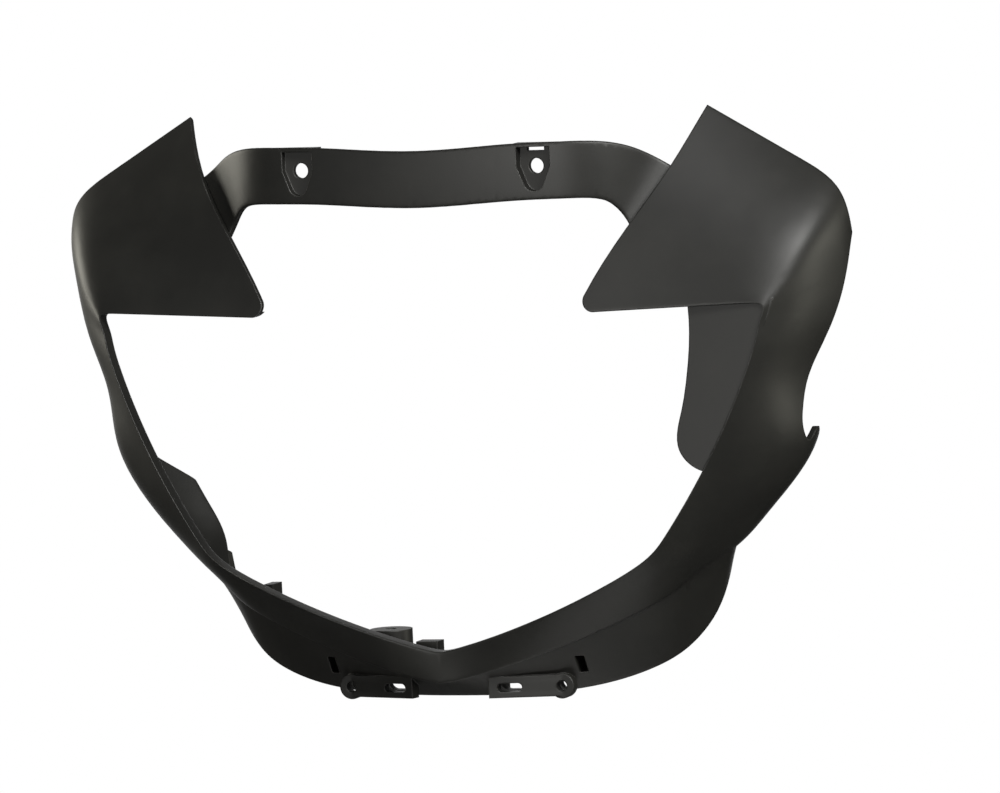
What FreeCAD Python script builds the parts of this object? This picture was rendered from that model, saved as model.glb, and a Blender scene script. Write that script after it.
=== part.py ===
import FreeCAD, Part
import math
import os

Vector = FreeCAD.Vector

# One-piece moulded headlight housing, a thin black plastic cowl.
# X runs to the viewer's right, Y to the back, Z up; millimetres.
# The origin is midway between the seats of the two upper screws.

NODE = "headlight_housing"

doc = FreeCAD.newDocument(NODE)
sheet = doc.addObject("Spreadsheet::Sheet", "Sizes")

# Driving sizes: alias, value, what it is
SIZES = [
    ("wall", 2.5, "wall of the moulding"),
    ("lip_depth", 8, "return lip round the lamp opening, front to back"),
    ("edge_soft", 1.0, "softening of the moulded edges"),
    ("brow_gap", 126, "between the inner corners of the two wings"),
    ("brow_drop", 57.5, "wing corners below the screw line"),
    ("brow_bow", 8, "wing corners forward of the rim plane"),
    ("brow_lip", 3, "return lip at the wing corners, front to back"),
    ("rim_setback", 3, "rim plane behind the screw seats"),
    ("opening_width", 280, "lamp opening at its upper corners"),
    ("corner_rise", 2.5, "upper opening corners above the wing corners"),
    ("corner_round", 9, "rounding of the upper opening corners"),
    ("kink_width", 182, "lamp opening at its lower corners"),
    ("kink_bow", 11, "lower opening corners forward of the rim plane"),
    ("kink_drop", 96, "lower opening corners below the wing corners"),
    ("rim_bow", 5, "outward bow of the side rims"),
    ("chin_drop", 133, "chin rim below the wing corners"),
    ("chin_bow", 4.5, "chin rim forward of the rim plane"),
    ("chin_sag", 4, "downward bow of the chin rims"),
    ("tip_out", 45.5, "wing tip outboard of the wing corner"),
    ("tip_rise", 77.8, "wing tip above the wing corner"),
    ("tip_lean", 40, "wing tip behind the wing corner"),
    ("wing_crown", 8, "forward crown of the wings"),
    ("shoulder_out", 21, "end of the wing's top edge outboard of the opening"),
    ("shoulder_rise", 44, "end of the wing's top edge above the opening corner"),
    ("shoulder_lean", 35, "end of the wing's top edge behind the rim plane"),
    ("shoulder_bulge", 9, "outward bulge of the shoulder corner"),
    ("scoop", 2.7, "outward scoop of the wings' inner edges"),
    ("wing_corner_round", 4.5, "rounding of the wing corners"),
    ("flare", 27.5, "outward reach of the flanks"),
    ("flank_depth", 25, "upper flanks behind the rim plane"),
    ("notch_drop", 54, "bottom of the stem notches below the wing corners"),
    ("notch_round", 5, "rounding of the stem notches"),
    ("lobe_depth", 69, "lower flank lobes behind the rim plane"),
    ("chin_height", 12.5, "chin bar at its middle"),
    ("ledge_height", 15.5, "chin bar towards its ends"),
    ("ledge_sweep", 24, "sweep of the chin bar's lower edge at its ends"),
    ("ledge_overhang", 5, "chin bar's lower edge proud of the skirt"),
    ("skirt_width", 212, "skirt across its ends"),
    ("skirt_shoulder", 92.5, "widest line of the skirt below the wing corners"),
    ("skirt_height", 60.5, "skirt from its widest line to its lower edge"),
    ("skirt_setback", 21, "skirt's lower edge behind the rim plane at its middle"),
    ("skirt_sweep", 27, "sweep of the skirt's lower edge at its ends"),
    ("screw_spacing", 98, "between the upper screws"),
    ("screw_hole", 6, "upper screw holes across"),
    ("bridge_height", 22.5, "bridge bar from edge to edge"),
    ("bridge_drop", 4.2, "bridge bar's middle line below the screw line"),
    ("bridge_wave", 2.4, "rise of the bridge bar at the screws"),
    ("pocket_width", 13, "screw pockets across"),
    ("pocket_depth", 4, "screw seats behind the bridge bar's face"),
    ("bridge_bow", 3, "forward bow of the bridge bar between the screws"),
    ("bridge_crown", 0.4, "forward crown of the bridge bar from edge to edge"),
    ("bend_out", 24, "bends of the bridge bar outboard of the screws"),
    ("bend_back", 6, "bends of the bridge bar behind its face at the screws"),
    ("pocket_round", 4, "rounding of the screw pockets' feet"),
    ("pocket_foot", 9.6, "foot of the screw pockets below the screw line"),
    ("pocket_top", 7.6, "top of the screw pockets above the screw line"),
    ("slit_height", 1.6, "slit at the top of the right screw pocket"),
    ("slit_length", 7, "slit at the top of the right screw pocket, longways"),
    ("gusset_setback", 1.8, "corner gusset behind the rim plane"),
    ("gusset_reach", 34, "corner gusset inboard of the opening corner"),
    ("lug_spacing", 88, "between the lower screws"),
    ("lug_rise", 4.8, "lower screws above the skirt's lower edge"),
    ("lug_front", 7.5, "front of the lower lugs before the skirt's lower edge"),
    ("lug_depth", 4.5, "lower lugs, front to back"),
    ("lug_eye", 10, "eye of the lower screw lugs across"),
    ("lug_hole", 4.2, "lower screw holes across"),
    ("lug_length", 28, "lower screw lugs inboard of the screw"),
    ("slot_length", 9.5, "slots of the lower lugs, longways"),
    ("slot_width", 3.4, "slots of the lower lugs, across"),
    ("slot_inboard", 20, "middle of the lug slots inboard of the lower screws"),
    ("clip_width", 3.4, "clip slots of the skirt across"),
    ("clip_height", 7, "clip slots of the skirt, top to bottom"),
    ("clip_depth", 7, "clip slots of the skirt, front to back"),
    ("clip_out", 8, "clip slots outboard of the lower screws"),
    ("clip_rise", 8.5, "middle of the clip slots above the lower screws"),
    ("boss_spacing", 64, "between the screw bosses behind the skirt"),
    ("boss_width", 17, "screw bosses across"),
    ("boss_height", 26, "top of the screw bosses above the skirt's lower edge"),
    ("boss_length", 17.5, "screw bosses, top to bottom"),
    ("boss_hole", 4.5, "screw boss holes across"),
    ("boss_hole_depth", 14, "screw boss holes, top to bottom"),
    ("rib_spacing", 27, "between the stub ribs behind the chin"),
    ("rib_width", 9, "stub ribs across"),
    ("rib_height", 22, "top of the stub ribs above the skirt's lower edge"),
    ("nub_spacing", 166, "between the end nubs behind the chin bar"),
    ("nub_width", 4, "end nubs across"),
    ("nub_height", 44, "top of the end nubs above the skirt's lower edge"),
]


def fill_sheet():
    for row, (alias, value, note) in enumerate(SIZES, start=1):
        sheet.set("A%d" % row, note)
        sheet.set("B%d" % row, str(value))
        sheet.setAlias("B%d" % row, alias)
    doc.recompute()


def size(alias):
    return float(sheet.get(alias))


def lerp(start, end, share):
    return start + (end - start) * share


def unit(vector):
    return vector * (1.0 / vector.Length)


def mirrored(point):
    return Vector(-point.x, point.y, point.z)


BACK = Vector(0, 1, 0)

# How far trimming bodies reach past the wall, and how far a probe reaches through the housing
MARGIN = 30
PROBE = 200


def key_points():
    """Corner points of the right half of the face."""
    rim_y = size("rim_setback")
    brow_z = -size("brow_drop")
    key = {}
    key["inner"] = Vector(size("brow_gap") / 2, rim_y - size("brow_bow"), brow_z)
    key["corner"] = Vector(size("opening_width") / 2, rim_y, brow_z + size("corner_rise"))
    key["kink"] = Vector(
        size("kink_width") / 2, rim_y - size("kink_bow"), brow_z - size("kink_drop"))
    key["chin"] = Vector(0, rim_y - size("chin_bow"), brow_z - size("chin_drop"))
    key["tip"] = key["inner"] + Vector(size("tip_out"), size("tip_lean"), size("tip_rise"))
    key["shoulder"] = key["corner"] + Vector(
        size("shoulder_out"), size("shoulder_lean"), size("shoulder_rise"))
    return key


# Shares of the way from rim to outer edge at which the face is shaped
FACE_SHARES = (0.33, 0.62, 0.86)
CROWN_SHARES = (0.75, 1.0, 0.6)


def wing_station(key, share):
    """Face line across the wing, from the brow up to the top edge."""
    rim = lerp(key["inner"], key["corner"], share)
    outer = lerp(key["tip"], key["shoulder"], share)
    crown = size("wing_crown")
    line = [rim]
    for place, bulge in zip(FACE_SHARES, CROWN_SHARES):
        line.append(lerp(rim, outer, place) - BACK * (crown * bulge))
    line.append(outer)
    return line


# Flank lines from the upper opening corner down to the lower one. Each has its share of the
# way along the side rim, its turn in degrees, then depth and reach of its widest point and of
# its back edge, as shares of the lobe depth and of the flare
FLANK_LINES = [
    (0.05, 25, 0.53, 0.9, 0.72, 0.92),
    (0.15, 5, 0.5, 0.76, 0.74, 0.78),
    (0.28, -14, 0.46, 0.56, 0.78, 0.56),
    (0.42, -24, 0.57, 1.0, 0.9, 0.72),
    (0.57, -27, 0.59, 1.02, 0.92, 0.48),
    (0.74, -29, 0.54, 0.84, 0.86, 0.44),
    (0.9, -38, 0.62, 0.7, 0.84, 0.38),
]

# Fullness of the flank before its widest point and between there and its back edge
EARLY_DEPTH = 0.4
EARLY_REACH = 0.66
LATE_SHARE = 0.55
LATE_FULLNESS = 0.08


def flank_station(key, share, turn, wide_depth, wide_reach, back_depth, back_reach):
    """Face line across the flank, from the side rim round to the back edge."""
    lobe = size("lobe_depth")
    flare = size("flare")
    bow = 4 * share * (1 - share) * size("rim_bow")
    angle = math.radians(turn)
    out = Vector(math.cos(angle), 0, math.sin(angle))
    rim = lerp(key["corner"], key["kink"], share) + out * bow
    wide = rim + out * (wide_reach * flare) + BACK * (wide_depth * lobe)
    back = rim + out * (back_reach * flare) + BACK * (back_depth * lobe)
    early = rim + out * (EARLY_REACH * wide_reach * flare)
    early = early + BACK * (EARLY_DEPTH * wide_depth * lobe)
    late = lerp(wide, back, LATE_SHARE) + out * (LATE_FULLNESS * flare)
    return [rim, early, wide, late, back]


# How early the chin bar's lower edge sweeps back, and the fullness of its face
CHIN_SWEEP_POWER = 1.2
CHIN_FULLNESS = 0.3


def chin_station(key, share):
    """Face line across the chin bar, from its rim down to its ledge."""
    rim = lerp(key["kink"], key["chin"], share)
    rim = rim - Vector(0, 0, 4 * share * (1 - share) * size("chin_sag"))
    run = unit(key["chin"] - key["kink"])
    slope = Vector(-run.z, 0, run.x)
    down = unit(lerp(slope, Vector(0, 0, -1), share ** 2))
    height = lerp(size("ledge_height"), size("chin_height"), share)
    sweep = size("ledge_sweep") * (1 - share) ** CHIN_SWEEP_POWER
    outer = rim + down * height + BACK * sweep
    line = [rim]
    for place in FACE_SHARES:
        full = CHIN_FULLNESS * sweep * place * (1 - place)
        line.append(lerp(rim, outer, place) - BACK * full)
    line.append(outer)
    return line


# Face lines of the wing, the first beyond its inner edge, and those of the chin bar
WING_SHARES = (-0.3, 0.02, 0.35, 0.68)
WING_END = 0.95
CHIN_SHARES = (0.0, 0.22, 0.48, 0.75, 0.92)

# Peak of the shoulder corner, as shares of its bulge, and crown of the line up to it, as shares
# of the wing's crown
PEAK = Vector(0.4, 0, -1.2)
PEAK_CROWN = Vector(0.25, -0.5, 0.125)


def half_stations(key):
    """Face lines of the right half, from beyond the wing's inner edge to the chin."""
    lines = []
    for share in WING_SHARES:
        lines.append(wing_station(key, share))
    brow = unit(key["corner"] - key["inner"])
    side = unit(key["kink"] - key["corner"])
    soft = size("corner_round")
    near = wing_station(key, WING_END)
    near[0] = key["corner"] - brow * soft
    lines.append(near)
    peak = key["shoulder"] + PEAK * size("shoulder_bulge")
    crown = PEAK_CROWN * size("wing_crown")
    turn_line = [key["corner"]]
    for place, bulge in zip(FACE_SHARES, CROWN_SHARES):
        turn_line.append(lerp(key["corner"], peak, place) + crown * bulge)
    turn_line.append(peak)
    lines.append(turn_line)
    for numbers in FLANK_LINES:
        lines.append(flank_station(key, *numbers))
    lines[-len(FLANK_LINES)][0] = key["corner"] + side * soft
    for share in CHIN_SHARES:
        lines.append(chin_station(key, share))
    return lines


def full_stations(key):
    right = half_stations(key)
    middle = chin_station(key, 1.0)
    left = [[mirrored(p) for p in line] for line in reversed(right)]
    return right + [middle] + left


def inward_normals(lines):
    """Unit normals at the points of the net, pointing into the housing."""
    last = len(lines) - 1
    wide = len(lines[0]) - 1
    normals = []
    for i, line in enumerate(lines):
        row = []
        for j in range(len(line)):
            along = lines[min(i + 1, last)][j] - lines[max(i - 1, 0)][j]
            across = line[min(j + 1, wide)] - line[max(j - 1, 0)]
            row.append(unit(across.cross(along)))
        normals.append(row)
    return normals


# Least share of the inward normal that points back, where the face is steepest
STEEPEST = 0.4


def band_section(line, normals, lip):
    """Closed loop of poles round the wall: lip, rim, face, outer edge and back."""
    wall = size("wall")
    soft = size("edge_soft")
    rim = line[0]
    outer = line[-1]
    into = unit(line[1] - rim)
    off = unit(line[-1] - line[-2])
    side = unit(into - BACK * into.dot(BACK))
    face_normal = normals[0]
    rise = wall * (1 - side.dot(face_normal)) / max(BACK.dot(face_normal), STEEPEST)
    root = rim + side * wall
    root_lip = max(lip, rise + 3 * soft)
    inner_corner = root + BACK * rise
    outer_back = outer + normals[-1] * wall
    loop = [rim + BACK * lip, rim + BACK * (lip - soft), rim + BACK * soft]
    loop += [rim, rim + into * soft]
    loop += line[1:-1]
    loop += [outer - off * soft, outer, outer_back, outer_back - off * soft]
    for point, normal in reversed(list(zip(line[1:-1], normals[1:-1]))):
        loop.append(point + normal * wall)
    loop += [inner_corner + into * soft, inner_corner, inner_corner + BACK * soft]
    loop += [root + BACK * (root_lip - soft), root + BACK * root_lip]
    return loop


def flattened(loop, along):
    """The loop laid into one plane, so that a flat face can close it."""
    base = loop[0]
    return [p - along * (p - base).dot(along) for p in loop]


# Patches of a skin along its length
PATCH_COUNT = 6


def tube_solid(loops, seams):
    """Solid whose skin is a smooth cubic surface over closed loops of poles, in sewn patches."""
    count = len(loops)
    round_count = len(loops[0])
    surface = Part.BSplineSurface()
    last = count - 3
    long_knots = list(range(last + 1))
    long_mults = [4] + [1] * (last - 1) + [4]
    round_knots = list(range(round_count + 1))
    round_mults = [1] * (round_count + 1)
    surface.buildFromPolesMultsKnots(
        loops, long_mults, round_mults, long_knots, round_knots, False, True, 3, 3)
    breaks = [round(last * place / PATCH_COUNT) for place in range(PATCH_COUNT + 1)]
    faces = []
    rims = {0: [], last: []}
    for start, stop in zip(seams, seams[1:] + [round_count]):
        for begin, end in zip(breaks, breaks[1:]):
            patch = surface.copy()
            patch.segment(begin, end, start, stop)
            faces.append(patch.toShape())
            for knot in (begin, end):
                if knot in rims:
                    rims[knot].append(patch.uIso(knot).toShape())
    for edges in rims.values():
        faces.append(Part.Face(Part.Wire(edges)))
    shell = Part.makeShell(faces)
    shell.sewShape()
    solid = Part.makeSolid(Part.Shell(shell.Faces))
    if solid.Volume < 0:
        solid.reverse()
    return solid


def arc_corner(corner, first, second, radius):
    """Start, middle and end of the arc that rounds the corner between two directions."""
    half = first.getAngle(second) / 2
    reach = radius / math.tan(half)
    bisector = unit(first + second)
    middle = corner + bisector * (radius / math.sin(half) - radius)
    return corner + first * reach, middle, corner + second * reach


def smooth_edge(points):
    curve = Part.BSplineCurve()
    curve.interpolate(points)
    return curve.toShape()


def closed_face(edges, points):
    """Face inside edges that the straight lines through points close."""
    lines = [Part.makeLine(a, b) for a, b in zip(points, points[1:])]
    return Part.Face(Part.Wire(edges + lines))


# Two places up the wing's inner edge, and their shares of its scoop
SCOOP_LOW, SCOOP_HIGH = 0.4, 0.72
SCOOP_START = 0.4


def wing_trim(key):
    """Space beside the right wing's inner edge, seen from the front."""
    front = key["inner"].y - MARGIN
    inner, tip, corner = [Vector(key[n].x, front, key[n].z) for n in ("inner", "tip", "corner")]
    scoop = Vector(size("scoop"), 0, 0)
    low = lerp(inner, tip, SCOOP_LOW) + scoop * SCOOP_START
    high = lerp(inner, tip, SCOOP_HIGH) + scoop
    start, middle, end = arc_corner(
        inner, unit(corner - inner), unit(low - inner), size("wing_corner_round"))
    above = tip + unit(tip - high) * MARGIN
    edges = [Part.Arc(start, middle, end).toShape(), smooth_edge([end, low, high, tip, above])]
    floor = start.z - MARGIN
    points = [above, Vector(0, front, above.z), Vector(0, front, floor)]
    points += [Vector(start.x, front, floor), start]
    depth = key["tip"].y - front + MARGIN
    return closed_face(edges, points).extrude(BACK * depth)


# Back edge of the upper flank, as shares of the flank depth and of the notch drop
FLANK_EDGE = [
    (1.75, -0.6), (1.5, -0.35), (1.42, -0.1), (1.32, 0.12), (1.2, 0.35), (1.08, 0.55),
    (1.0, 0.75), (1.03, 0.9)]

# Top edge of the lobe: share of the lobe depth, height above the notch bottom
LOBE_EDGE = [(0.55, 4.5), (0.64, 0), (0.72, -9), (0.79, -22), (0.85, -42)]

# Bottom of the stem notch behind the flank's edge, as a share of its rounding
NOTCH_FOOT = 1.3


def flank_trim(key):
    """Space behind the upper flanks and in the stem notches, seen from the side."""
    rim_y = size("rim_setback")
    top = key["inner"].z
    drop = size("notch_drop")
    left = -size("opening_width")
    points = []
    for depth, fall in FLANK_EDGE:
        points.append(Vector(left, rim_y + depth * size("flank_depth"), top - fall * drop))
    bottom = Vector(left, points[-1].y + NOTCH_FOOT * size("notch_round"), top - drop)
    points.append(bottom)
    for depth, rise in LOBE_EDGE:
        points.append(Vector(left, rim_y + depth * size("lobe_depth"), bottom.z + rise))
    end = points[-1]
    far = end.y + MARGIN
    corner = Vector(left, far, end.z)
    ceiling = Vector(left, far, points[0].z)
    face = closed_face([smooth_edge(points)], [end, corner, ceiling, points[0]])
    return face.extrude(Vector(-2 * left, 0, 0))


def sheet_section(line, normals):
    """Closed loop of poles round a plain wall with softened edges."""
    wall = size("wall")
    soft = size("edge_soft")
    first = unit(line[1] - line[0])
    last = unit(line[-1] - line[-2])
    back = [p + n * wall for p, n in zip(line, normals)]
    loop = [line[0], line[0] + first * soft] + line[1:-1] + [line[-1] - last * soft, line[-1]]
    loop += [back[-1], back[-1] - last * soft] + back[-2:0:-1] + [back[0] + first * soft, back[0]]
    return loop


def sheet_solid(lines):
    normals = inward_normals(lines)
    middle = normals[len(normals) // 2][0]
    if middle.y < 0:
        normals = [[n * -1 for n in row] for row in normals]
    loops = [sheet_section(line, row) for line, row in zip(lines, normals)]
    half = len(loops[0]) // 2
    for end in (0, -1):
        rise = lines[end][-1] - lines[end][0]
        loops[end] = flattened(loops[end], unit(rise.cross(normals[end][0])))
    return tube_solid(loops, [0, 1, half, half + 1])


def make_band(key):
    """Solid of the face band, with its face lines and their inward normals."""
    lines = full_stations(key)
    normals = inward_normals(lines)
    if normals[0][2].y < 0:
        normals = [[n * -1 for n in row] for row in normals]
    lips = [size("lip_depth")] * len(lines)
    for place in (0, 1, -2, -1):
        lips[place] = size("brow_lip")
    loops = [band_section(*parts) for parts in zip(lines, normals, lips)]
    for end in (0, -1):
        rise = lines[end][-1] - lines[end][0]
        loops[end] = flattened(loops[end], unit(rise.cross(BACK)))
    points = len(lines[0])
    seams = [0, 2, points + 3, points + 4, 2 * points + 5, 2 * points + 8]
    return tube_solid(loops, seams), lines, normals


# Squareness of the skirt's lower edge, and how late it sweeps back towards its ends
SKIRT_SQUARE = 3.1
SWEEP_POWER = 4


def skirt_bottom(turn):
    """Point of the skirt's lower edge; turn runs from 0 in the middle to 90 at the end."""
    angle = math.radians(turn)
    across = math.sin(angle) ** (2 / SKIRT_SQUARE)
    below = math.cos(angle) ** (2 / SKIRT_SQUARE)
    x = size("skirt_width") / 2 * across
    y = size("rim_setback") + size("skirt_setback") + size("skirt_sweep") * across ** SWEEP_POWER
    z = -size("brow_drop") - size("skirt_shoulder") - size("skirt_height") * below
    return Vector(x, y, z)


# Top of the skirt as a share of the way across the chin bar, and how far it sits in the wall
SKIRT_TOP = 0.6
SKIRT_SINK = 0.4

# Knee of the skirt as a share of the way from its top to the ledge
KNEE_SHARE = 0.85

# Top and knee of the skirt's ends, as shares of the way to the lobe's widest point
END_TOP = 0.3
END_KNEE = 0.8


def skirt_line(line, normals, turn):
    """Line down the skirt, from inside the chin bar's wall to the lower edge."""
    top = lerp(line[0], line[-1], SKIRT_TOP) + normals[2] * (SKIRT_SINK * size("wall"))
    bottom = skirt_bottom(turn)
    knee = lerp(top, line[-1] + normals[-1] * size("ledge_overhang"), KNEE_SHARE)
    return [top, knee, lerp(knee, bottom, 0.5), bottom]


def skirt_end(line, normals, turn):
    """Line at the skirt's end, sunk in the wall of the lobe along its widest part."""
    sink = SKIRT_SINK * size("wall")
    top = lerp(line[1], line[2], END_TOP) + normals[1] * sink
    knee = lerp(line[1], line[2], END_KNEE) + normals[2] * sink
    bottom = skirt_bottom(turn)
    return [top, knee, lerp(knee, bottom, 0.5), bottom]


# Turns of the skirt's lower edge that go with the lobe's lines and with those of the chin bar
END_TURNS = [88, 76]
SKIRT_TURNS = [58, 42, 24, 10, 3, 0]


def make_skirt(lines, normals):
    middle = len(lines) // 2
    first = middle - len(SKIRT_TURNS) - len(END_TURNS) + 1
    right = []
    for place, turn in enumerate(END_TURNS, start=first):
        right.append(skirt_end(lines[place], normals[place], turn))
    for place, turn in enumerate(SKIRT_TURNS, start=first + len(END_TURNS)):
        right.append(skirt_line(lines[place], normals[place], turn))
    left = [[mirrored(p) for p in line] for line in reversed(right[:-1])]
    return sheet_solid(right + left)


def wall_span(wall_shape, x, z):
    """Box round the part of a wall that lies behind one place of the front view."""
    probe = Part.makeLine(Vector(x, -PROBE, z), Vector(x, PROBE, z))
    return wall_shape.common(probe).BoundBox


def skirt_block(skirt_shape, x, z, width, height, front, back):
    """Upright block that leans with the skirt, between two depths from the middle of its wall."""
    ends = []
    for level in (z - height / 2, z + height / 2):
        span = wall_span(skirt_shape, x, level)
        ends.append(Vector(x - width / 2, (span.YMin + span.YMax) / 2, level))
    low, high = ends
    corners = [low + BACK * front, high + BACK * front, high + BACK * back, low + BACK * back]
    face = Part.Face(Part.makePolygon(corners + corners[:1]))
    return face.extrude(Vector(width, 0, 0))


# Bridge ends: way out, back and down from the bend, of the bar's upper and lower edge
BRIDGE_ENDS = [((14, 11.5, 3), (6.5, 5, 3)), ((25, 22.5, 13), (11.5, 9, 13))]

# Lines of the bridge bar as shares of the way from its middle to a screw, then on to the bend
BAR_SHARES = (0.0, 0.35, 0.7, 1.0)
BEND_SHARE = 0.55
BEND_START = 0.33

# Where the bridge bar's upper and lower edge meet the wing: share along it, share across it
BAR_TOP = (0.25, 0.3)
BAR_FOOT = (0.2, 0.8)


def bridge_line(x, y, middle):
    """Upright line over the bridge bar's face, slightly crowned."""
    half = Vector(0, 0, size("bridge_height") / 2)
    centre = Vector(x, y, middle)
    return [centre + half, centre - BACK * size("bridge_crown"), centre - half]


def make_bridge(key):
    screw = size("screw_spacing") / 2
    face = -size("pocket_depth")
    low = -size("bridge_drop")
    high = low + size("bridge_wave")
    bend = screw + size("bend_out")
    bend_back = size("bend_back")
    right = []
    for share in BAR_SHARES:
        middle = lerp(low, high, (1 - math.cos(math.pi * share)) / 2)
        bow = size("bridge_bow") * (1 - share ** 2)
        right.append(bridge_line(share * screw, face - bow, middle))
    right.append(bridge_line(lerp(screw, bend, BEND_SHARE), face + BEND_START * bend_back, high))
    right.append(bridge_line(bend, face + bend_back, high))
    bend_top, bend_foot = right[-1][0], right[-1][-1]
    for (out, back, down), (foot_out, foot_back, foot_down) in BRIDGE_ENDS:
        top = bend_top + Vector(out, back, -down)
        bottom = bend_foot + Vector(foot_out, foot_back, -foot_down)
        right.append([top, lerp(top, bottom, 0.5), bottom])
    sink = BACK * (0.5 * size("wall"))
    upper_line = wing_station(key, BAR_TOP[0])
    lower_line = wing_station(key, BAR_FOOT[0])
    top = lerp(upper_line[2], upper_line[3], BAR_TOP[1]) + sink
    bottom = lerp(lower_line[0], lower_line[1], BAR_FOOT[1]) + sink
    right.append([top, lerp(top, bottom, 0.5), bottom])
    left = [[mirrored(p) for p in line] for line in right[1:]]
    return sheet_solid(list(reversed(right)) + left)


# Inner edge of the corner gusset: share of the way down the side rim, share of its reach inboard
GUSSET_EDGE = [(0.284, 0.7), (0.426, 0.59), (0.508, 0.525), (0.57, 0.415), (0.62, 0.24)]
GUSSET_FOOT = 0.66
GUSSET_SIDE = (0.5, 0.25, 0)


def gusset_face(key):
    """Plate in the right upper corner of the opening, in the plane of the side rim."""
    corner = key["corner"] + BACK * size("gusset_setback")
    kink = key["kink"] + BACK * size("gusset_setback")
    reach = size("gusset_reach")
    sink = Vector(0.5 * size("wall"), 0, 0)

    def rim_at(share):
        return lerp(corner, kink, share) + Vector(4 * share * (1 - share) * size("rim_bow"), 0, 0)

    outer = [rim_at(share) + sink for share in (GUSSET_FOOT,) + GUSSET_SIDE]
    inner = [corner - Vector(reach, 0, 0)]
    inner += [rim_at(share) - Vector(inset * reach, 0, 0) for share, inset in GUSSET_EDGE]
    inner.append(outer[0])
    top = lerp(corner, kink, -sink.x / (corner.z - kink.z)) - corner
    inner[0] = inner[0] + top
    outer[-1] = outer[-1] + top
    return closed_face([smooth_edge(inner)], outer + [inner[0]])


def shield(grow, front, depth):
    """Solid with the screw pocket's tapered outline, grown all round, at the right screw."""
    half = size("pocket_width") / 2 + grow
    foot = size("pocket_round") + grow
    top = size("pocket_top") + grow
    middle = Vector(size("screw_spacing") / 2, front, 0)
    low = middle - Vector(0, 0, size("pocket_foot") - size("pocket_round"))
    side = middle + Vector(half, 0, 0) - low
    swing = math.atan2(side.z, side.x) - math.acos(foot / side.Length)
    touch = Vector(math.cos(swing), 0, math.sin(swing)) * foot
    right = [middle + Vector(half, 0, top), middle + Vector(half, 0, 0), low + touch]
    left = [Vector(2 * middle.x - p.x, p.y, p.z) for p in reversed(right)]
    arc = Part.Arc(right[-1], low - Vector(0, 0, foot), left[0]).toShape()
    face = closed_face([arc], left + right)
    return face.extrude(BACK * depth)


def add_shape(name, shape):
    feature = doc.addObject("Part::Feature", name)
    feature.Shape = shape
    return feature


def add_box(name, spans, turn=0):
    """Box from the start and length, as expressions, along X, Y and Z, turned about Z."""
    box = doc.addObject("Part::Box", name)
    box.Placement = FreeCAD.Placement(Vector(), FreeCAD.Rotation(Vector(0, 0, 1), turn))
    for axis, side, (start, length) in zip("xyz", ("Length", "Width", "Height"), spans):
        box.setExpression("Placement.Base." + axis, start)
        box.setExpression(side, length)
    return box


def add_pin(name, radius, length, base, upright):
    """Cylinder, upright or pointing back, from expressions."""
    pin = doc.addObject("Part::Cylinder", name)
    if not upright:
        pin.Placement = FreeCAD.Placement(Vector(), FreeCAD.Rotation(Vector(1, 0, 0), -90))
    pin.setExpression("Radius", radius)
    pin.setExpression("Height", length)
    for axis, place in zip("xyz", base):
        pin.setExpression("Placement.Base." + axis, place)
    return pin


def add_fuse(name, things):
    fuse = doc.addObject("Part::MultiFuse", name)
    fuse.Shapes = things
    fuse.Refine = False
    return fuse


def add_cut(name, base, tool):
    cut = doc.addObject("Part::Cut", name)
    cut.Base = base
    cut.Tool = tool
    cut.Refine = False
    return cut


def add_twin(name, source):
    """Mirror image of a thing on the left side."""
    twin = doc.addObject("Part::Mirroring", name)
    twin.Source = source
    twin.Normal = Vector(1, 0, 0)
    return twin


fill_sheet()
KEY = key_points()

# Face band with the wing edges, upper flanks and stem notches trimmed
band_shape, LINES, NORMALS = make_band(KEY)
band = add_shape("band", band_shape)
wing_cutter = add_shape("wing_cutter", wing_trim(KEY))
flank_cutter = add_shape("flank_cutter", flank_trim(KEY))
right_trim = add_cut("right_trim", band, wing_cutter)
both_trims = add_cut("both_trims", right_trim, add_twin("wing_cutter_left", wing_cutter))
face = add_cut("face", both_trims, flank_cutter)
skirt = add_shape("skirt", make_skirt(LINES, NORMALS))
gusset = add_shape("gusset", gusset_face(KEY).extrude(BACK * size("wall")))

# Bridge bar with its two screw pockets
bar = add_shape("bar", make_bridge(KEY))
SCREW_X = "Sizes.screw_spacing / 2"
WALL = size("wall")
SEAT = size("pocket_depth")
CUP_WALL = 0.6 * WALL
pocket = add_shape("pocket", shield(0, -3 * SEAT, 3 * SEAT))
cup = add_shape("cup", shield(CUP_WALL, 0.5 * WALL - SEAT, SEAT + 0.5 * WALL))
screw_hole = add_pin("screw_hole", "Sizes.screw_hole / 2", "4 * Sizes.pocket_depth", (
    SCREW_X, "-2 * Sizes.pocket_depth", "0"), False)
slit = add_box("slit", (
    (SCREW_X + " - Sizes.slit_length / 2", "Sizes.slit_length"),
    ("-2 * Sizes.pocket_depth", "4 * Sizes.pocket_depth"),
    ("Sizes.pocket_top - Sizes.slit_height", "Sizes.slit_height")))

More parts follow.
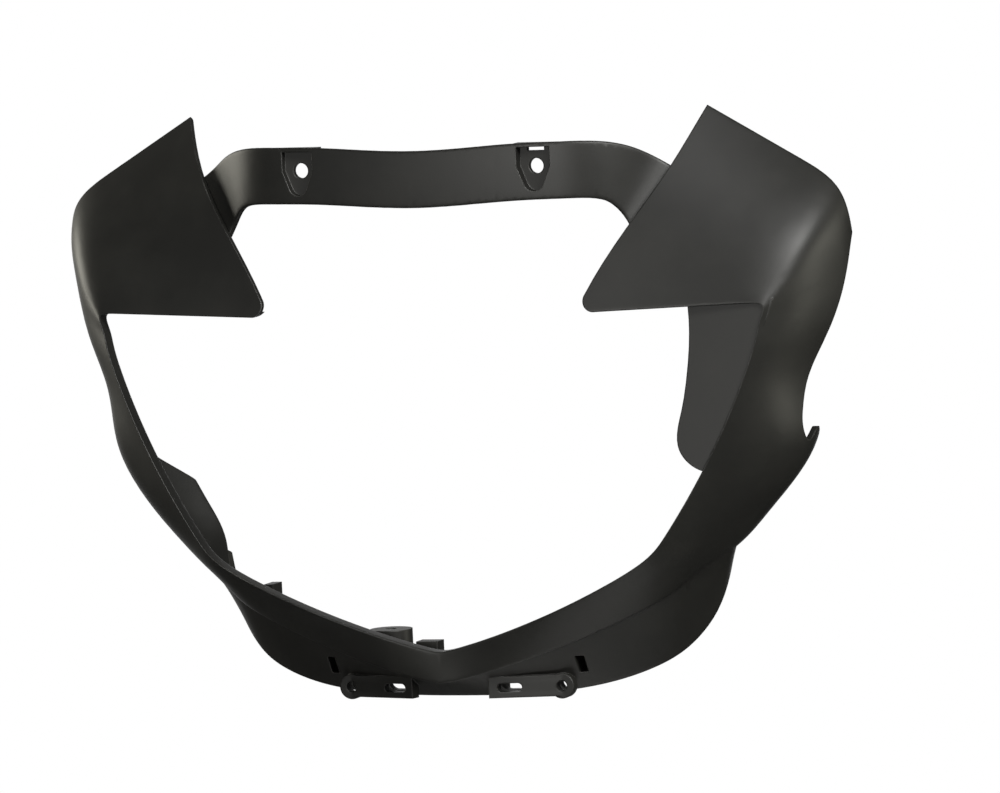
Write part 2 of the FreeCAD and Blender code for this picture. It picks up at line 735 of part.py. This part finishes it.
# Lower screw lugs and their holes; the plates are turned, and their foot and height are shares
# of the eye
LUG_TURN = 14
PLATE_FOOT = 0.4
PLATE_HEIGHT = 0.85
SKIRT_FOOT = "-(Sizes.brow_drop + Sizes.skirt_shoulder + Sizes.skirt_height)"
SKIRT_Y = "Sizes.rim_setback + Sizes.skirt_setback"
LUG_X = "Sizes.lug_spacing / 2"
LUG_Y = SKIRT_Y + " - Sizes.lug_front"
LUG_Z = SKIRT_FOOT + " + Sizes.lug_rise"
PIERCE_Y = LUG_Y + " - Sizes.lug_length / 2"
PIERCE = "Sizes.lug_length"
lug_eye = add_pin("lug_eye", "Sizes.lug_eye / 2", "Sizes.lug_depth", (LUG_X, LUG_Y, LUG_Z), False)
lug_plate = add_box("lug_plate", (
    (LUG_X + " - Sizes.lug_length", "Sizes.lug_length / cos(%d)" % LUG_TURN),
    (LUG_Y + " - Sizes.lug_length * tan(%d)" % LUG_TURN, "Sizes.lug_depth"),
    (LUG_Z + " - %s * Sizes.lug_eye" % PLATE_FOOT, "%s * Sizes.lug_eye" % PLATE_HEIGHT)), LUG_TURN)
lug_hole = add_pin("lug_hole", "Sizes.lug_hole / 2", PIERCE, (LUG_X, PIERCE_Y, LUG_Z), False)
SLOT_X = LUG_X + " - Sizes.slot_inboard"
SLOT_HALF = "(Sizes.slot_length - Sizes.slot_width) / 2"
slot_ends = []
for name, side in (("slot_inner", " - "), ("slot_outer", " + ")):
    slot_ends.append(add_pin(name, "Sizes.slot_width / 2", PIERCE, (
        SLOT_X + side + SLOT_HALF, PIERCE_Y, LUG_Z), False))
slot_middle = add_box("slot_middle", (
    (SLOT_X + " - " + SLOT_HALF, "Sizes.slot_length - Sizes.slot_width"),
    (PIERCE_Y, PIERCE),
    (LUG_Z + " - Sizes.slot_width / 2", "Sizes.slot_width")))

# Clip slots of the skirt, closed at the back by a hood that starts inside the wall
HOOD_START = 0.3 * WALL
clip_x = size("lug_spacing") / 2 + size("clip_out")
clip_z = skirt_bottom(0).z + size("lug_rise") + size("clip_rise")
clip_hood = add_shape("clip_hood", skirt_block(
    skirt.Shape, clip_x, clip_z, size("clip_width") + 2 * WALL, size("clip_height") + 2 * WALL,
    HOOD_START, size("clip_depth") + WALL))
clip_slot = add_shape("clip_slot", skirt_block(
    skirt.Shape, clip_x, clip_z, size("clip_width"), size("clip_height"),
    -2 * WALL, size("clip_depth")))

# Screw bosses, stub ribs and end nubs behind the chin: set-back of a boss as a share of its
# width, middle of its web as a share of its length, foot of a nub as a share of its height
BOSS_SETBACK = 0.45
WEB_MIDDLE = 0.75
NUB_FOOT = 0.5
BOSS_X = "Sizes.boss_spacing / 2"
BOSS_Y = SKIRT_Y + " + %s * Sizes.boss_width" % BOSS_SETBACK
boss = add_pin("boss", "Sizes.boss_width / 2", "Sizes.boss_length", (
    BOSS_X, BOSS_Y, SKIRT_FOOT + " + Sizes.boss_height - Sizes.boss_length"), True)
web_z = skirt_bottom(0).z + size("boss_height") - WEB_MIDDLE * size("boss_length")
boss_web = add_shape("boss_web", skirt_block(
    skirt.Shape, size("boss_spacing") / 2, web_z, WALL, size("boss_length") / 2,
    0, size("boss_width")))
boss_hole = add_pin("boss_hole", "Sizes.boss_hole / 2", "Sizes.boss_hole_depth + Sizes.wall", (
    BOSS_X, BOSS_Y, SKIRT_FOOT + " + Sizes.boss_height - Sizes.boss_hole_depth"), True)
rib = add_box("rib", (
    ("Sizes.rib_spacing / 2 - Sizes.rib_width / 2", "Sizes.rib_width"),
    (SKIRT_Y + " - Sizes.wall", "3 * Sizes.wall"),
    (SKIRT_FOOT + " + Sizes.wall", "Sizes.rib_height - Sizes.wall")))
nub_foot = skirt_bottom(0).z + NUB_FOOT * size("nub_height")
nub_side = (size("nub_spacing") + size("nub_width")) / 2
nub_y = wall_span(skirt.Shape, nub_side, nub_foot).YMin
nub = add_box("nub", (
    ("Sizes.nub_spacing / 2 - Sizes.nub_width / 2", "Sizes.nub_width"),
    ("%.3f + Sizes.wall / 3" % nub_y, "4 * Sizes.wall"),
    (SKIRT_FOOT + " + %s * Sizes.nub_height" % NUB_FOOT,
     "(1 - %s) * Sizes.nub_height" % NUB_FOOT)))

# The whole moulding
fittings = add_fuse("fittings", [lug_eye, lug_plate, clip_hood, boss, boss_web, rib, nub, cup])
fittings_left = add_twin("fittings_left", fittings)
body = add_fuse("body", [face, skirt, bar, gusset, fittings, fittings_left])
holes = [pocket, screw_hole, lug_hole, slot_middle, clip_slot, boss_hole]
hollows = add_fuse("hollows", holes + slot_ends)
hollows_left = add_twin("hollows_left", hollows)
all_hollows = add_fuse("all_hollows", [hollows, hollows_left, slit])
housing = add_cut(NODE, body, all_hollows)
housing.Label = NODE
doc.recompute()

for thing in doc.Objects:
    if "Invalid" in thing.State or "Error" in thing.State:
        raise RuntimeError("%s did not compute: %s" % (thing.Name, thing.State))
    if hasattr(thing, "Shape") and (thing.Shape.isNull() or not thing.Shape.isValid()):
        raise RuntimeError("%s has no valid shape" % thing.Name)
if len(housing.Shape.Solids) != 1:
    raise RuntimeError("the housing is in %d solids" % len(housing.Shape.Solids))

os.makedirs("parts", exist_ok=True)
housing.Shape.exportStep("parts/%s.step" % NODE)
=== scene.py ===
import math
from collections import namedtuple

import bmesh
import bpy
from bpy.props import FloatProperty, FloatVectorProperty, PointerProperty
from mathutils import Matrix, Vector


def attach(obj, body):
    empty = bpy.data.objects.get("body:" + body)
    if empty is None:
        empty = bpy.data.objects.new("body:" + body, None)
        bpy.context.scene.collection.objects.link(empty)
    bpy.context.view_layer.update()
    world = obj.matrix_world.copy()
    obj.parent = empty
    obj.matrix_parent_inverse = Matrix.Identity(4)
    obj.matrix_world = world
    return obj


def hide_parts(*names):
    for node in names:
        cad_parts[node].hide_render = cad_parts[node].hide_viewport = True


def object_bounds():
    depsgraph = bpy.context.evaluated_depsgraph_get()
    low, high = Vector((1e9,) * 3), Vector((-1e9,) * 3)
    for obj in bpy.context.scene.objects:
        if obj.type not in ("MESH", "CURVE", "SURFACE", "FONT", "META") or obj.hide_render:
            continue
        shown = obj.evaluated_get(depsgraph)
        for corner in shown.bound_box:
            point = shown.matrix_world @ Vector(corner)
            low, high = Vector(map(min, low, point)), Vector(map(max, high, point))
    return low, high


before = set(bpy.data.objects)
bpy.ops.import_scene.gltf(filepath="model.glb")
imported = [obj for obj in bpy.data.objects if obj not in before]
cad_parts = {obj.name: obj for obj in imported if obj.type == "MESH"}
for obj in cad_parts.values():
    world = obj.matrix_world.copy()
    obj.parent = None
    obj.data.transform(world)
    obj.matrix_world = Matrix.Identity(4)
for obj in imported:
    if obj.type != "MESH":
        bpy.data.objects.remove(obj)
CAD_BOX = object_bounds()

bl_info = {
    "name": "Headlight housing",
    "version": (1, 0, 0),
    "blender": (4, 5, 0),
    "location": "View3D > Sidebar > Housing",
    "description": "Dresses the moulded headlight housing and sets up its studio",
    "category": "Object",
}

NODE = "headlight_housing"
MM = 0.001
MERGE_DISTANCE = 0.001 * MM

# Plastic: noise scales are per metre, and each range is where its pattern starts and is full
PATCH_SCALE = 22.0
PATCH_DETAIL = 5.0
PATCH_ROUGHNESS = 0.6
PATCH_RANGE = (0.42, 0.72)
RUB_SCALE = 90.0
RUB_DETAIL = 3.0
RUB_RANGE = (0.4, 0.7)
EDGE_RANGE = (0.86, 0.995)
EDGE_SAMPLES = 8
SPECULAR_LEVEL = 0.5
GRAIN_STRENGTH = 0.35
WHITE = (1, 1, 1, 1)
BLACK = (0, 0, 0, 1)

IMAGE_WIDTH = 1000
SENSOR_WIDTH = 36.0
CLIP_END = 100.0
FLOOR_SIDES = 96
FLOOR_ROUGHNESS = 0.9

# Soft round lamps, placed from the aim in metres. One that is not mirrored is hidden from reflections.
Lamp = namedtuple("Lamp", "name place width power colour mirrored")
LAMPS = [
    Lamp("key_lamp", (1.45, -0.95, 1.0), 0.8, 27, (1.0, 0.995, 0.97), True),
    Lamp("top_lamp", (0.8, -1.3, 1.3), 0.8, 13, (1.0, 1.0, 0.99), True),
    Lamp("front_lamp", (-0.05, -2.0, 0.15), 0.4, 10, (1.0, 0.99, 0.96), True),
    Lamp("left_lamp", (-1.65, 0.4, 0.2), 0.8, 9, (1.0, 0.97, 0.85), True),
    Lamp("right_lamp", (1.7, 0.4, -0.1), 0.7, 6, (1.0, 0.98, 0.85), True),
    Lamp("back_lamp", (-0.4, 1.9, 0.2), 0.9, 34, (1.0, 0.99, 0.96), False),
]


class HousingProperties(bpy.types.PropertyGroup):
    """Finish of the moulded housing"""

    plastic_colour: FloatVectorProperty(
        name="Plastic colour", description="Dyed-through black of the moulding",
        subtype="COLOR", size=3, min=0, max=1, default=(0.0135, 0.0134, 0.012))
    dusty_colour: FloatVectorProperty(
        name="Dusty colour", description="Faded and dusty patches of the plastic",
        subtype="COLOR", size=3, min=0, max=1, default=(0.02, 0.0197, 0.0172))
    worn_colour: FloatVectorProperty(
        name="Worn colour", description="Rubbed edges of the plastic",
        subtype="COLOR", size=3, min=0, max=1, default=(0.075, 0.074, 0.07))
    clean_roughness: FloatProperty(
        name="Clean roughness", description="Roughness of the clean plastic",
        subtype="FACTOR", min=0, max=1, default=0.38)
    dusty_roughness: FloatProperty(
        name="Dusty roughness", description="Roughness of the dusty patches",
        subtype="FACTOR", min=0, max=1, default=0.5)
    grain_size: FloatProperty(
        name="Grain size", description="Width of one cell of the moulded grain",
        unit="LENGTH", default=0.7 * MM)
    grain_depth: FloatProperty(
        name="Grain depth", description="Depth of the moulded grain",
        unit="LENGTH", default=0.02 * MM)
    edge_round: FloatProperty(
        name="Edge rounding", description="Radius at which the moulded edges catch the light",
        unit="LENGTH", default=0.7 * MM)
    smooth_angle: FloatProperty(
        name="Smooth angle", description="Edges sharper than this stay crisp",
        subtype="ANGLE", default=math.radians(38))


class StudioProperties(bpy.types.PropertyGroup):
    """Camera, floor and room"""

    aim: FloatVectorProperty(
        name="Aim", description="Point in the middle of the picture",
        subtype="TRANSLATION", size=3, default=(29.717 * MM, 0, -89.878 * MM))
    yaw: FloatProperty(
        name="Yaw", description="Turn of the camera to the viewer's right",
        subtype="ANGLE", default=math.radians(20))
    rise: FloatProperty(
        name="Rise", description="Height of the camera over the aim, as an angle",
        subtype="ANGLE", default=math.radians(5))
    roll: FloatProperty(
        name="Roll", description="Tilt of the picture",
        subtype="ANGLE", default=math.radians(-2.597))
    distance: FloatProperty(
        name="Distance", description="From the camera to the aim",
        unit="LENGTH", default=4.0)
    pixel: FloatProperty(
        name="Pixel", description="Width of one picture element at the aim",
        unit="LENGTH", default=0.39 * MM)
    floor_drop: FloatProperty(
        name="Floor drop", description="Floor below the housing's lowest point",
        unit="LENGTH", default=1.2)
    floor_radius: FloatProperty(
        name="Floor radius", description="Radius of the round floor",
        unit="LENGTH", default=0.6)
    floor_colour: FloatVectorProperty(
        name="Floor colour", description="Pale floor",
        subtype="COLOR", size=3, min=0, max=1, default=(0.8, 0.8, 0.8))
    ambient: FloatProperty(
        name="Ambient", description="Light of the room on matt surfaces", default=0.1)
    room: FloatProperty(
        name="Room", description="Brightness of the room in reflections", default=0.03)
    backdrop: FloatProperty(
        name="Backdrop", description="Brightness of the backdrop in reflections", default=1.0)
    backdrop_inner: FloatProperty(
        name="Backdrop inner edge", description="Angle from its middle at which the backdrop fades",
        subtype="ANGLE", default=math.radians(11.48))
    backdrop_outer: FloatProperty(
        name="Backdrop outer edge", description="Angle from its middle at which the backdrop ends",
        subtype="ANGLE", default=math.radians(28.36))


def node_at(tree, kind, **values):
    """New shader node with its properties and input values set."""
    made = tree.nodes.new(kind)
    for name, value in values.items():
        if hasattr(made, name):
            setattr(made, name, value)
        else:
            made.inputs[name.replace("_", " ").title()].default_value = value
    return made


def ramp_between(tree, places, colours=(BLACK, WHITE)):
    """Colour ramp between two places."""
    ramp = tree.nodes.new("ShaderNodeValToRGB")
    for element, place, colour in zip(ramp.color_ramp.elements, places, colours):
        element.position = place
        element.color = colour
    return ramp


def noise_pattern(tree, place, places, **values):
    """Noise on the housing's own coordinates, and a ramp that cuts patches out of it."""
    noise = node_at(tree, "ShaderNodeTexNoise", **values)
    tree.links.new(place.outputs["Object"], noise.inputs["Vector"])
    ramp = ramp_between(tree, places)
    tree.links.new(noise.outputs["Fac"], ramp.inputs["Fac"])
    return noise, ramp


def moulded_plastic(look):
    """Satin black plastic with a fine grain, dusty patches and rubbed edges."""
    material = bpy.data.materials.new("moulded_plastic")
    material.use_nodes = True
    tree = material.node_tree
    link = tree.links.new
    shader = tree.nodes["Principled BSDF"]
    shader.inputs["Specular IOR Level"].default_value = SPECULAR_LEVEL
    place = tree.nodes.new("ShaderNodeTexCoord")

    patches, patch_ramp = noise_pattern(
        tree, place, PATCH_RANGE,
        scale=PATCH_SCALE, detail=PATCH_DETAIL, roughness=PATCH_ROUGHNESS)
    body = node_at(tree, "ShaderNodeMix", data_type="RGBA")
    body.inputs["A"].default_value = (*look.plastic_colour, 1)
    body.inputs["B"].default_value = (*look.dusty_colour, 1)
    link(patch_ramp.outputs["Color"], body.inputs["Factor"])

    # An edge is where the rounded normal leaves the true one
    rounded = node_at(tree, "ShaderNodeBevel", samples=EDGE_SAMPLES, radius=look.edge_round)
    true_shape = tree.nodes.new("ShaderNodeNewGeometry")
    edge = node_at(tree, "ShaderNodeVectorMath", operation="DOT_PRODUCT")
    link(rounded.outputs["Normal"], edge.inputs[0])
    link(true_shape.outputs["Normal"], edge.inputs[1])
    edge_ramp = ramp_between(tree, EDGE_RANGE, (WHITE, BLACK))
    link(edge.outputs["Value"], edge_ramp.inputs["Fac"])

    _, rub_ramp = noise_pattern(tree, place, RUB_RANGE, scale=RUB_SCALE, detail=RUB_DETAIL)
    rubbed = node_at(tree, "ShaderNodeMath", operation="MULTIPLY")
    link(edge_ramp.outputs["Color"], rubbed.inputs[0])
    link(rub_ramp.outputs["Color"], rubbed.inputs[1])
    worn = node_at(tree, "ShaderNodeMix", data_type="RGBA")
    worn.inputs["B"].default_value = (*look.worn_colour, 1)
    link(body.outputs["Result"], worn.inputs["A"])
    link(rubbed.outputs["Value"], worn.inputs["Factor"])
    link(worn.outputs["Result"], shader.inputs["Base Color"])

    gloss = node_at(
        tree, "ShaderNodeMapRange", to_min=look.clean_roughness, to_max=look.dusty_roughness)
    link(patches.outputs["Fac"], gloss.inputs["Value"])
    link(gloss.outputs["Result"], shader.inputs["Roughness"])

    grain = node_at(
        tree, "ShaderNodeTexVoronoi", feature="SMOOTH_F1", scale=1 / look.grain_size)
    link(place.outputs["Object"], grain.inputs["Vector"])
    bump = node_at(
        tree, "ShaderNodeBump", strength=GRAIN_STRENGTH, distance=look.grain_depth)
    link(grain.outputs["Distance"], bump.inputs["Height"])
    link(rounded.outputs["Normal"], bump.inputs["Normal"])
    link(bump.outputs["Normal"], shader.inputs["Normal"])
    return material


class OBJECT_OT_dress_housing(bpy.types.Operator):
    """Show the moulded housing as a smooth skin in satin black plastic"""

    bl_idname = "object.dress_housing"
    bl_label = "Dress housing"

    def execute(self, context):
        look = context.scene.housing_look
        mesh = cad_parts[NODE].data.copy()
        mesh.name = "housing_skin"
        shell = bmesh.new()
        shell.from_mesh(mesh)
        bmesh.ops.remove_doubles(shell, verts=shell.verts, dist=MERGE_DISTANCE)
        for face in shell.faces:
            face.smooth = True
        for edge in shell.edges:
            edge.smooth = edge.is_manifold and edge.calc_face_angle() < look.smooth_angle
        shell.to_mesh(mesh)
        shell.free()
        if mesh.has_custom_normals:
            mesh.attributes.remove(mesh.attributes["custom_normal"])
        mesh.materials.clear()
        mesh.materials.append(moulded_plastic(look))
        skin = bpy.data.objects.new("housing_skin", mesh)
        context.scene.collection.objects.link(skin)
        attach(skin, "root")
        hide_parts(NODE)
        return {"FINISHED"}


def pale_floor(studio):
    """Matt pale floor."""
    material = bpy.data.materials.new("pale_floor")
    material.use_nodes = True
    shader = material.node_tree.nodes["Principled BSDF"]
    shader.inputs["Roughness"].default_value = FLOOR_ROUGHNESS
    shader.inputs["Base Color"].default_value = (*studio.floor_colour, 1)
    return material


def lay_floor(scene, studio):
    """Round floor below the housing."""
    disc = bmesh.new()
    bmesh.ops.create_circle(
        disc, cap_ends=True, segments=FLOOR_SIDES, radius=studio.floor_radius)
    low = CAD_BOX[0][2] - studio.floor_drop
    bmesh.ops.translate(disc, verts=disc.verts, vec=(0, 0, low))
    mesh = bpy.data.meshes.new("floor")
    disc.to_mesh(mesh)
    disc.free()
    mesh.materials.append(pale_floor(studio))
    floor = bpy.data.objects.new("floor", mesh)
    scene.collection.objects.link(floor)


def hang_lamps(scene, aim):
    """Soft lamps round the housing, each turned to the aim."""
    for lamp in LAMPS:
        data = bpy.data.lights.new(lamp.name, "AREA")
        data.shape = "DISK"
        data.size = lamp.width
        data.energy = lamp.power
        data.color = lamp.colour
        hung = bpy.data.objects.new(lamp.name, data)
        hung.visible_glossy = lamp.mirrored
        hung.location = aim + Vector(lamp.place)
        hung.rotation_euler = Vector(lamp.place).to_track_quat("Z", "Y").to_euler()
        scene.collection.objects.link(hung)


def combined(tree, operation, first, second):
    """Output of a math node on two other outputs."""
    made = node_at(tree, "ShaderNodeMath", operation=operation)
    tree.links.new(first, made.inputs[0])
    tree.links.new(second, made.inputs[1])
    return made.outputs["Value"]


def white_room(scene, studio):
    """White to the camera. Reflections show a white backdrop in a dim room."""
    world = bpy.data.worlds.new("white_room")
    scene.world = world
    world.use_nodes = True
    tree = world.node_tree
    link = tree.links.new
    background = tree.nodes["Background"]
    background.inputs["Color"].default_value = WHITE
    path = tree.nodes.new("ShaderNodeLightPath").outputs
    seen = combined(tree, "MAXIMUM", path["Is Camera Ray"], path["Is Transmission Ray"])

    # The backdrop stands behind the housing, as the camera sees it
    way = tree.nodes.new("ShaderNodeTexCoord")
    ahead = node_at(tree, "ShaderNodeVectorMath", operation="DOT_PRODUCT")
    ahead.inputs[1].default_value = (-math.sin(studio.yaw), math.cos(studio.yaw), 0)
    link(way.outputs["Generated"], ahead.inputs[0])
    backdrop = node_at(
        tree, "ShaderNodeMapRange", interpolation_type="SMOOTHSTEP",
        from_min=math.cos(studio.backdrop_outer), from_max=math.cos(studio.backdrop_inner),
        to_min=studio.room, to_max=studio.backdrop)
    link(ahead.outputs["Value"], backdrop.inputs["Value"])
    mirrored = combined(tree, "MULTIPLY", path["Is Glossy Ray"], backdrop.outputs["Result"])

    matt = node_at(tree, "ShaderNodeMath", operation="MULTIPLY")
    link(path["Is Diffuse Ray"], matt.inputs[0])
    matt.inputs[1].default_value = studio.ambient
    bright = combined(tree, "MAXIMUM", seen, mirrored)
    level = combined(tree, "MAXIMUM", bright, matt.outputs["Value"])
    link(level, background.inputs["Strength"])


def place_camera(scene, studio, aim):
    """Camera at the photo's angle, with the aim in the middle of the picture."""
    back = Vector((
        math.sin(studio.yaw) * math.cos(studio.rise),
        -math.cos(studio.yaw) * math.cos(studio.rise),
        math.sin(studio.rise)))
    level_right = Vector((math.cos(studio.yaw), math.sin(studio.yaw), 0))
    right = Matrix.Rotation(studio.roll, 3, back) @ level_right
    up = back.cross(right)
    data = bpy.data.cameras.new("camera")
    data.sensor_width = SENSOR_WIDTH
    data.lens = SENSOR_WIDTH * studio.distance / (studio.pixel * IMAGE_WIDTH)
    data.clip_end = CLIP_END
    camera = bpy.data.objects.new("camera", data)
    axes = Matrix((right, up, back)).transposed().to_4x4()
    camera.matrix_world = Matrix.Translation(aim + back * studio.distance) @ axes
    scene.collection.objects.link(camera)
    scene.camera = camera


class OBJECT_OT_set_studio(bpy.types.Operator):
    """Set up the pale floor, the soft lamps, the white room and the camera"""

    bl_idname = "object.set_studio"
    bl_label = "Set studio"

    def execute(self, context):
        scene = context.scene
        studio = scene.housing_studio
        scene.view_settings.view_transform = "Standard"
        aim = Vector(studio.aim)
        lay_floor(scene, studio)
        hang_lamps(scene, aim)
        white_room(scene, studio)
        place_camera(scene, studio, aim)
        return {"FINISHED"}


class VIEW3D_PT_housing(bpy.types.Panel):
    """Sidebar panel of the headlight housing"""

    bl_label = "Headlight housing"
    bl_space_type = "VIEW_3D"
    bl_region_type = "UI"
    bl_category = "Housing"

    def draw(self, context):
        layout = self.layout
        for group in (context.scene.housing_look, context.scene.housing_studio):
            for name in group.__annotations__:
                layout.prop(group, name)
        layout.operator(OBJECT_OT_dress_housing.bl_idname)
        layout.operator(OBJECT_OT_set_studio.bl_idname)


CLASSES = (
    HousingProperties,
    StudioProperties,
    OBJECT_OT_dress_housing,
    OBJECT_OT_set_studio,
    VIEW3D_PT_housing,
)


def register():
    for kind in CLASSES:
        bpy.utils.register_class(kind)
    bpy.types.Scene.housing_look = PointerProperty(type=HousingProperties)
    bpy.types.Scene.housing_studio = PointerProperty(type=StudioProperties)


def unregister():
    del bpy.types.Scene.housing_studio
    del bpy.types.Scene.housing_look
    for kind in reversed(CLASSES):
        bpy.utils.unregister_class(kind)


def main():
    register()
    bpy.ops.object.dress_housing()
    bpy.ops.object.set_studio()


if __name__ == "__main__":
    main()
